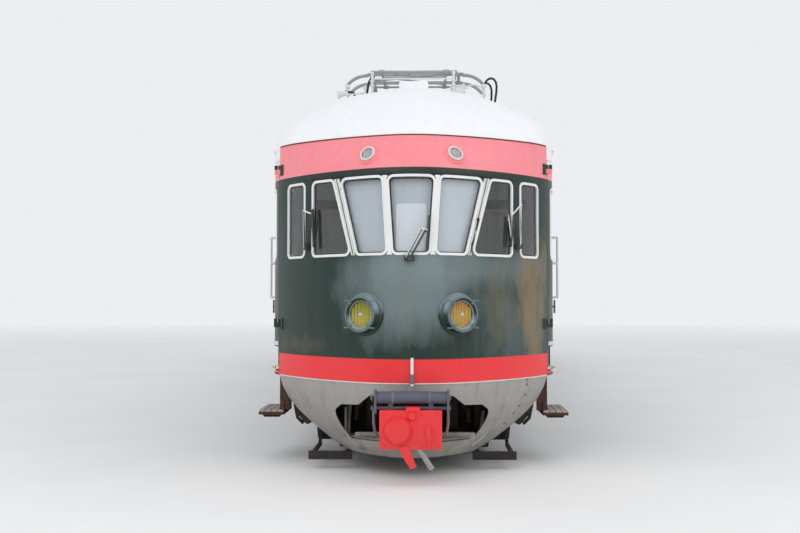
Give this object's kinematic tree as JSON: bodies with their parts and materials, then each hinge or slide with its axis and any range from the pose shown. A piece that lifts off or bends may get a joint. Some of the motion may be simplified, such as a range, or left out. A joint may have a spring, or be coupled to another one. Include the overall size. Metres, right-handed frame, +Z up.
{
  "type": "electric multiple unit driving motor coach",
  "caption": "Streamlined 1940s electric multiple unit driving motor coach, green with red bands, on two bogies with a folded pantograph.",
  "frame": {"origin": "middle of the bounding box at the bottom of the wheel flanges, on the car's centreline", "axes": "+Z up, Y along the car with the cab nose towards -Y, +X across"},
  "size_m": [3.18, 23.1, 4.443],
  "materials": {
    "body_green": "chalky, mottled",
    "roof_grey": "matt, weathered",
    "skirt_grey": "matt, dirty",
    "bright_frame": "dull",
    "glass": "clear, dusty",
    "lamp_glass": "fluted",
    "lamp_body": "satin",
    "running_gear": "brake dust and rust",
    "wheel_steel": "bright treads",
    "coupler_red": "gloss",
    "coupler_grey": "worn",
    "steel_grey": "worn",
    "rubber": "matt",
    "insulator": "glazed",
    "copper_grey": "oxidised",
    "wood": "varnished",
    "leather": "worn",
    "inner_paint": "eggshell"
  },
  "bodies": {
    "car_body": {"underframe": "running_gear", "body_bolsters": "running_gear", "coupler_brackets": "running_gear", "nose_shell": "body_green", "nose_skirt": "skirt_grey", "roof_dome": "roof_grey", "roof": "roof_grey", "side_wall_right": "body_green", "side_wall_left": "body_green", "end_wall": "body_green", "gangway": "rubber", "windscreen_frames": "bright_frame", "windscreen_glass": "glass", "side_window_frames": "bright_frame", "side_window_glass": "glass", "partitions": "wood", "seats_right": "leather", "seats_left": "leather", "driver_desk": "inner_paint", "driver_seat": "leather", "lamp_housings": "lamp_body", "lamp_lenses": "lamp_glass", "wipers": "steel_grey", "handrails": "bright_frame", "steps": "steel_grey", "underfloor_equipment": "running_gear", "roof_equipment": "roof_grey", "pantograph_base": "steel_grey", "pantograph_insulators": "insulator"},
    "front_coupler": {"front_coupler": "coupler_red", "coupler_roller_box": "coupler_grey"},
    "rear_coupler": {"rear_coupler": "coupler_grey"},
    "front_bogie": {"front_bogie_frame": "running_gear", "front_bogie_gear": "running_gear", "traction_motors": "running_gear"},
    "rear_bogie": {"rear_bogie_frame": "running_gear", "rear_bogie_gear": "running_gear"},
    "cab_door_right": {"cab_door_right": "body_green"},
    "cab_door_left": {"cab_door_left": "body_green"},
    "end_door": {"end_door": "wood"},
    "pantograph_lower_front": {"pantograph_lower_front": "steel_grey"},
    "pantograph_lower_rear": {"pantograph_lower_rear": "steel_grey"},
    "pantograph_upper_front": {"pantograph_upper_front": "steel_grey"},
    "pantograph_upper_rear": {"pantograph_upper_rear": "steel_grey"},
    "pantograph_head": {"pantograph_head": "copper_grey"},
    "wheelset_1": {"wheelset_1": "wheel_steel"},
    "wheelset_2": {"wheelset_2": "wheel_steel"},
    "wheelset_3": {"wheelset_3": "wheel_steel"},
    "wheelset_4": {"wheelset_4": "wheel_steel"},
    "entrance_leaf_right_front": {"entrance_leaf_right_front": "body_green"},
    "entrance_leaf_right_rear": {"entrance_leaf_right_rear": "body_green"},
    "entrance_leaf_left_front": {"entrance_leaf_left_front": "body_green"},
    "entrance_leaf_left_rear": {"entrance_leaf_left_rear": "body_green"}
  },
  "joints": [
    {"name": "front_bogie_turn", "type": "hinge", "parent": "car_body", "child": "front_bogie", "pos_m": [0, -7.75, 1.058], "axis": [0, 0, 1], "range_deg": [-4.5, 4.5]},
    {"name": "wheelset_1_roll", "type": "hinge", "parent": "front_bogie", "child": "wheelset_1", "pos_m": [0, -9.1, 0.503], "axis": [1, 0, 0], "continuous": true},
    {"name": "wheelset_2_roll", "type": "hinge", "parent": "front_bogie", "child": "wheelset_2", "pos_m": [0, -6.4, 0.503], "axis": [1, 0, 0], "continuous": true},
    {"name": "rear_bogie_turn", "type": "hinge", "parent": "car_body", "child": "rear_bogie", "pos_m": [0, 7.85, 1.058], "axis": [0, 0, 1], "range_deg": [-4.5, 4.5]},
    {"name": "wheelset_3_roll", "type": "hinge", "parent": "rear_bogie", "child": "wheelset_3", "pos_m": [0, 6.5, 0.503], "axis": [1, 0, 0], "continuous": true},
    {"name": "wheelset_4_roll", "type": "hinge", "parent": "rear_bogie", "child": "wheelset_4", "pos_m": [0, 9.2, 0.503], "axis": [1, 0, 0], "continuous": true},
    {"name": "front_coupler_swing", "type": "hinge", "parent": "car_body", "child": "front_coupler", "pos_m": [0, -10.3, 0.507], "axis": [0, 0, 1], "range_deg": [-15, 15]},
    {"name": "rear_coupler_swing", "type": "hinge", "parent": "car_body", "child": "rear_coupler", "pos_m": [0, 10.3, 0.507], "axis": [0, 0, 1], "range_deg": [-15, 15]},
    {"name": "cab_door_right_swing", "type": "hinge", "parent": "car_body", "child": "cab_door_right", "pos_m": [1.40641, -10.055, 1.423], "axis": [0, 0, -1], "range_deg": [0, 95]},
    {"name": "cab_door_left_swing", "type": "hinge", "parent": "car_body", "child": "cab_door_left", "pos_m": [-1.40641, -10.055, 1.423], "axis": [0, 0, 1], "range_deg": [0, 95]},
    {"name": "entrance_right_front_slide", "type": "slide", "parent": "car_body", "child": "entrance_leaf_right_front", "axis": [0, -1, 0], "range_m": [0, 0.64]},
    {"name": "entrance_right_rear_slide", "type": "slide", "parent": "car_body", "child": "entrance_leaf_right_rear", "axis": [0, 1, 0], "range_m": [0, 0.64]},
    {"name": "entrance_left_front_slide", "type": "slide", "parent": "car_body", "child": "entrance_leaf_left_front", "axis": [0, -1, 0], "range_m": [0, 0.64]},
    {"name": "entrance_left_rear_slide", "type": "slide", "parent": "car_body", "child": "entrance_leaf_left_rear", "axis": [0, 1, 0], "range_m": [0, 0.64]},
    {"name": "end_door_slide", "type": "slide", "parent": "car_body", "child": "end_door", "axis": [1, 0, 0], "range_m": [0, 0.77]},
    {"name": "pantograph_front_lower", "type": "hinge", "parent": "car_body", "child": "pantograph_lower_front", "pos_m": [0, -8, 4.103], "axis": [-1, 0, 0], "range_deg": [0, 42]},
    {"name": "pantograph_front_knee", "type": "hinge", "parent": "pantograph_lower_front", "child": "pantograph_upper_front", "pos_m": [0, -9.24695, 4.1902], "axis": [-1, 0, 0], "range_deg": [-84, 0]},
    {"name": "pantograph_rear_lower", "type": "hinge", "parent": "car_body", "child": "pantograph_lower_rear", "pos_m": [0, -7.5, 4.103], "axis": [-1, 0, 0], "range_deg": [-42, 0]},
    {"name": "pantograph_rear_knee", "type": "hinge", "parent": "pantograph_lower_rear", "child": "pantograph_upper_rear", "pos_m": [0, -6.25305, 4.1902], "axis": [-1, 0, 0], "range_deg": [0, 84]},
    {"name": "pantograph_head_level", "type": "hinge", "parent": "pantograph_upper_front", "child": "pantograph_head", "pos_m": [0, -8, 4.27739], "axis": [-1, 0, 0], "range_deg": [0, 42]}
  ],
  "couplings": [
    {"joint": "entrance_right_rear_slide", "follows": "entrance_right_front_slide", "ratio": 1},
    {"joint": "entrance_left_rear_slide", "follows": "entrance_left_front_slide", "ratio": 1},
    {"joint": "pantograph_front_knee", "follows": "pantograph_front_lower", "ratio": -2},
    {"joint": "pantograph_rear_knee", "follows": "pantograph_front_lower", "ratio": 2},
    {"joint": "pantograph_rear_lower", "follows": "pantograph_front_lower", "ratio": -1},
    {"joint": "pantograph_head_level", "follows": "pantograph_front_lower", "ratio": 1}
  ]
}
